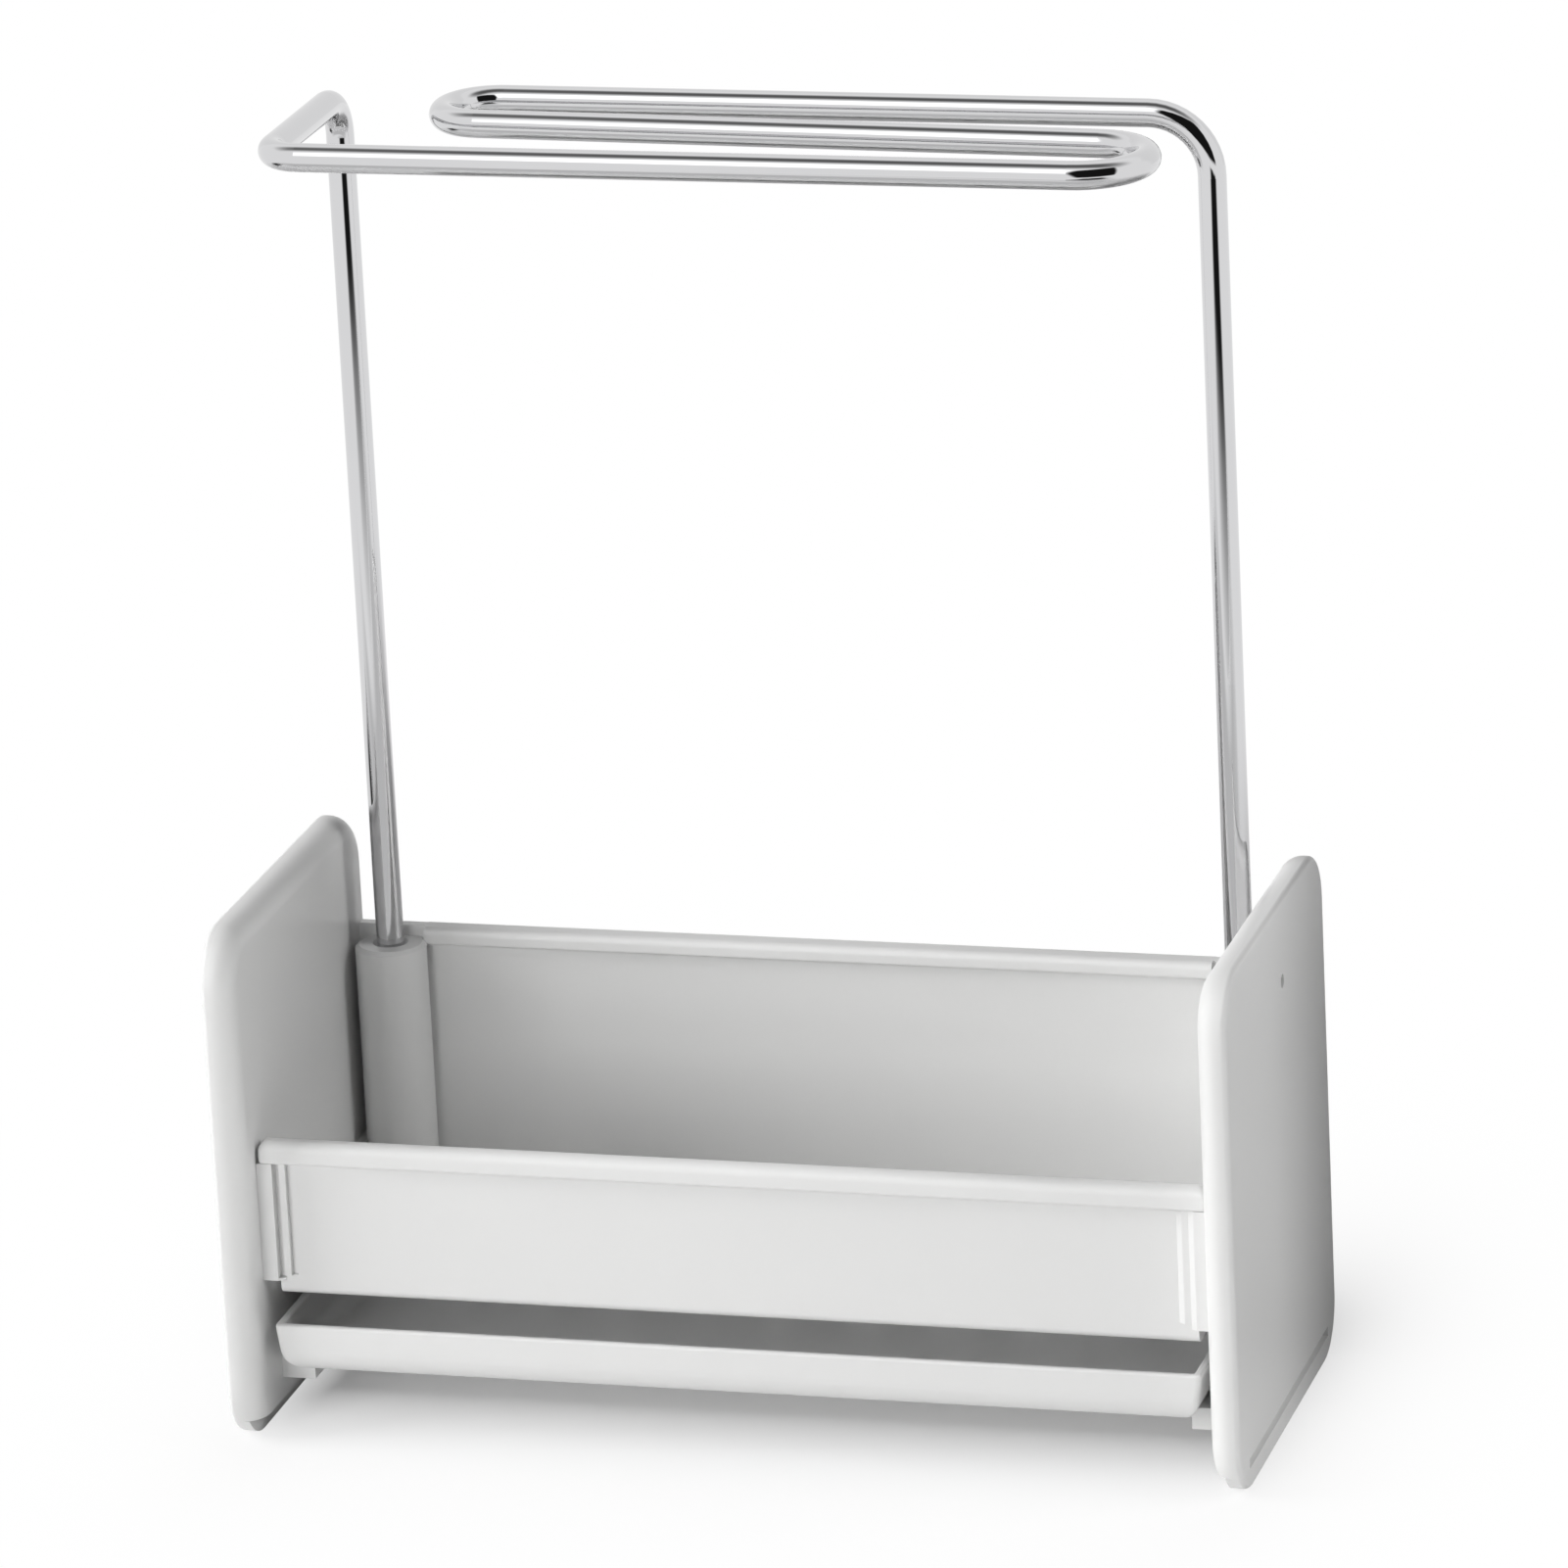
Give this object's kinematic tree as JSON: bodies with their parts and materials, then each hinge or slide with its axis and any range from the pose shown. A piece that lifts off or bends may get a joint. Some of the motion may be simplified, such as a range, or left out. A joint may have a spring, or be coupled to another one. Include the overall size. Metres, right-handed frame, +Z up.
{
  "type": "kitchen sink caddy",
  "caption": "Open moulded trough between rounded end panels, with a pull-out drip tray below and a bent chrome wire rack above for hanging dish cloths.",
  "frame": {"origin": "centre of the footprint, on the surface that the foot strips stand on", "axes": "+X to the right seen from the front, front towards -Y, +Z up"},
  "size_m": [0.22, 0.0932, 0.2783],
  "materials": {
    "panel_plastic": "satin moulded, pale warm grey",
    "foot_plastic": "soft matt, pale grey",
    "trough_plastic": "satin moulded, pale warm grey",
    "tray_plastic": "satin moulded, pale warm grey",
    "wire_chrome": "polished plating",
    "screw_steel": "plain zinc"
  },
  "bodies": {
    "stand": {"left_end_panel": "panel_plastic", "right_end_panel": "panel_plastic", "left_foot_strip": "foot_plastic", "right_foot_strip": "foot_plastic", "trough": "trough_plastic", "left_panel_screws": "screw_steel", "right_panel_screws": "screw_steel"},
    "tray": {"drip_tray": "tray_plastic"},
    "rack": {"wire_rack": "wire_chrome"}
  },
  "joints": [
    {"name": "tray_slide", "type": "slide", "parent": "stand", "child": "tray", "axis": [0, -1, 0], "range_m": [0, 0.08]},
    {"name": "rack_lift", "type": "slide", "parent": "stand", "child": "rack", "axis": [0, 0, 1], "range_m": [0, 0.05]}
  ]
}
